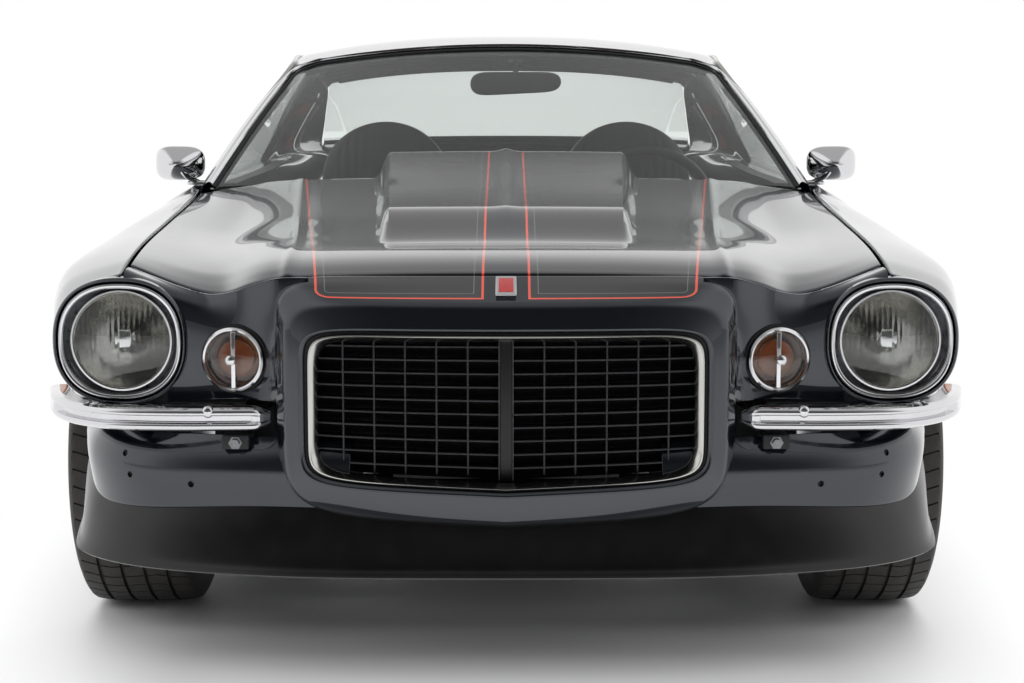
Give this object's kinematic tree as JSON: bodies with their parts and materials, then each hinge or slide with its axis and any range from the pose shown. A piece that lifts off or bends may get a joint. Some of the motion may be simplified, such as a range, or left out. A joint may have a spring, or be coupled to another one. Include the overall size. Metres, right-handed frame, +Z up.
{
  "type": "two-door muscle car",
  "caption": "Early-seventies two-door muscle car with split chrome front bumpers, a protruding grille, a hood scoop, opening doors and lids, and steered rolling wheels.",
  "frame": {"origin": "on the ground under the middle of the car's length", "axes": "-Y to the front, +X to the driver's left side, +Z up"},
  "size_m": [1.8838, 4.765, 1.284],
  "materials": {
    "paint": "dark blue-black gloss paint",
    "window_glass": "clear with a faint green tint",
    "chrome_plate": "polished plate",
    "black_plastic": "satin black",
    "trim_plastic": "grained black",
    "seat_vinyl": "black vinyl with pleats",
    "underbody": "satin black underbody",
    "cast_metal": "dark cast and pressed metal",
    "bare_steel": "dull steel",
    "lamp_glass": "fluted clear glass",
    "amber_lens": "clear lens over amber",
    "red_lens": "red lens",
    "wheel_alloy": "satin cast alloy",
    "tyre_rubber": "black rubber"
  },
  "bodies": {
    "body": {"floor_pan": "underbody", "tunnel": "underbody", "trunk_floor": "underbody", "sills": "paint", "cowl": "paint", "roof_rails": "paint", "windshield": "window_glass", "roof": "paint", "rear_window": "window_glass", "quarter_left": "paint", "quarter_right": "paint", "rear_deck": "paint", "tail_panel": "paint", "rear_bumper": "chrome_plate", "tail_lamps": "red_lens", "fender_left": "paint", "fender_right": "paint", "header_panels": "paint", "nose": "paint", "grille": "black_plastic", "front_valance": "paint", "air_dam": "black_plastic", "front_bumpers": "chrome_plate", "headlamps": "chrome_plate", "headlamp_lenses": "lamp_glass", "parking_lamps": "amber_lens", "dashboard": "trim_plastic", "steering_wheel": "trim_plastic", "front_seats": "seat_vinyl", "rear_seat": "seat_vinyl", "inner_mirror": "trim_plastic", "drivetrain": "cast_metal", "front_subframe": "cast_metal", "rear_axle": "cast_metal", "fuel_tank": "bare_steel", "exhaust": "bare_steel"},
    "hood": {"hood": "paint"},
    "trunk_lid": {"trunk_lid": "paint"},
    "door_left": {"door_left": "paint", "door_glass_left": "window_glass", "mirror_left": "chrome_plate"},
    "door_right": {"door_right": "paint", "door_glass_right": "window_glass", "mirror_right": "chrome_plate"},
    "knuckle_left": {"knuckle_left": "cast_metal"},
    "knuckle_right": {"knuckle_right": "cast_metal"},
    "wheel_front_left": {"wheel_front_left": "wheel_alloy", "tyre_front_left": "tyre_rubber"},
    "wheel_front_right": {"wheel_front_right": "wheel_alloy", "tyre_front_right": "tyre_rubber"},
    "wheel_rear_left": {"wheel_rear_left": "wheel_alloy", "tyre_rear_left": "tyre_rubber"},
    "wheel_rear_right": {"wheel_rear_right": "wheel_alloy", "tyre_rear_right": "tyre_rubber"}
  },
  "joints": [
    {"name": "hood_hinge", "type": "hinge", "parent": "body", "child": "hood", "pos_m": [0, -0.9095, 0.868], "axis": [-1, 0, 0], "range_deg": [0, 50]},
    {"name": "trunk_hinge", "type": "hinge", "parent": "body", "child": "trunk_lid", "pos_m": [0, 1.1405, 0.885], "axis": [1, 0, 0], "range_deg": [0, 70]},
    {"name": "door_left_hinge", "type": "hinge", "parent": "body", "child": "door_left", "pos_m": [0.867, -0.8545, 0.55], "axis": [0, 0, -1], "range_deg": [0, 60]},
    {"name": "door_right_hinge", "type": "hinge", "parent": "body", "child": "door_right", "pos_m": [-0.867, -0.8545, 0.55], "axis": [0, 0, 1], "range_deg": [0, 60]},
    {"name": "steer_left", "type": "hinge", "parent": "body", "child": "knuckle_left", "pos_m": [0.72, -1.4425, 0.326], "axis": [0, 0, 1], "range_deg": [-30, 30]},
    {"name": "steer_right", "type": "hinge", "parent": "body", "child": "knuckle_right", "pos_m": [-0.72, -1.4425, 0.326], "axis": [0, 0, 1], "range_deg": [-30, 30]},
    {"name": "spin_front_left", "type": "hinge", "parent": "knuckle_left", "child": "wheel_front_left", "pos_m": [0.7785, -1.4425, 0.326], "axis": [1, 0, 0], "continuous": true},
    {"name": "spin_front_right", "type": "hinge", "parent": "knuckle_right", "child": "wheel_front_right", "pos_m": [-0.7785, -1.4425, 0.326], "axis": [1, 0, 0], "continuous": true},
    {"name": "spin_rear_left", "type": "hinge", "parent": "body", "child": "wheel_rear_left", "pos_m": [0.762, 1.3005, 0.326], "axis": [1, 0, 0], "continuous": true},
    {"name": "spin_rear_right", "type": "hinge", "parent": "body", "child": "wheel_rear_right", "pos_m": [-0.762, 1.3005, 0.326], "axis": [1, 0, 0], "continuous": true}
  ],
  "couplings": [
    {"joint": "steer_right", "follows": "steer_left", "ratio": 1}
  ]
}
